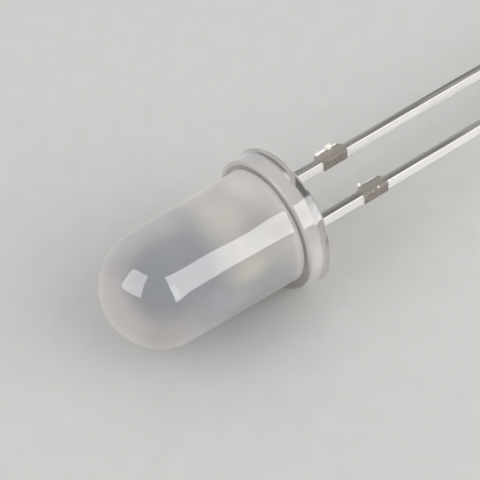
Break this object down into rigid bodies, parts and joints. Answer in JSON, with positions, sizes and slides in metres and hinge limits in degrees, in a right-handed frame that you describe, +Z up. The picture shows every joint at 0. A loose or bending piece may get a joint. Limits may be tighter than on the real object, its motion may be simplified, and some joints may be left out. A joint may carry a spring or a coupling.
{
  "type": "through hole LED",
  "caption": "Through hole light emitting diode with a milky domed epoxy body, a flange with a cathode flat, and straight square leads, lying on its side.",
  "frame": {"origin": "centre of the part's base on the ground that it lies on", "axes": "+X along the part towards the dome, +Y towards the anode lead, +Z up from the ground"},
  "size_m": [0.0354, 0.0057, 0.0061],
  "materials": {
    "epoxy": "glossy, milky and translucent, moulded",
    "tinned_steel": "tin dipped, satin, with dull cut faces at the stubs and the tips",
    "chip": "smooth, sawn sides",
    "gold": "bright drawn wire"
  },
  "bodies": {
    "root": {"lens": "epoxy", "cathode_lead": "tinned_steel", "anode_lead": "tinned_steel", "die": "chip", "bond_wire": "gold"}
  },
  "joints": []
}
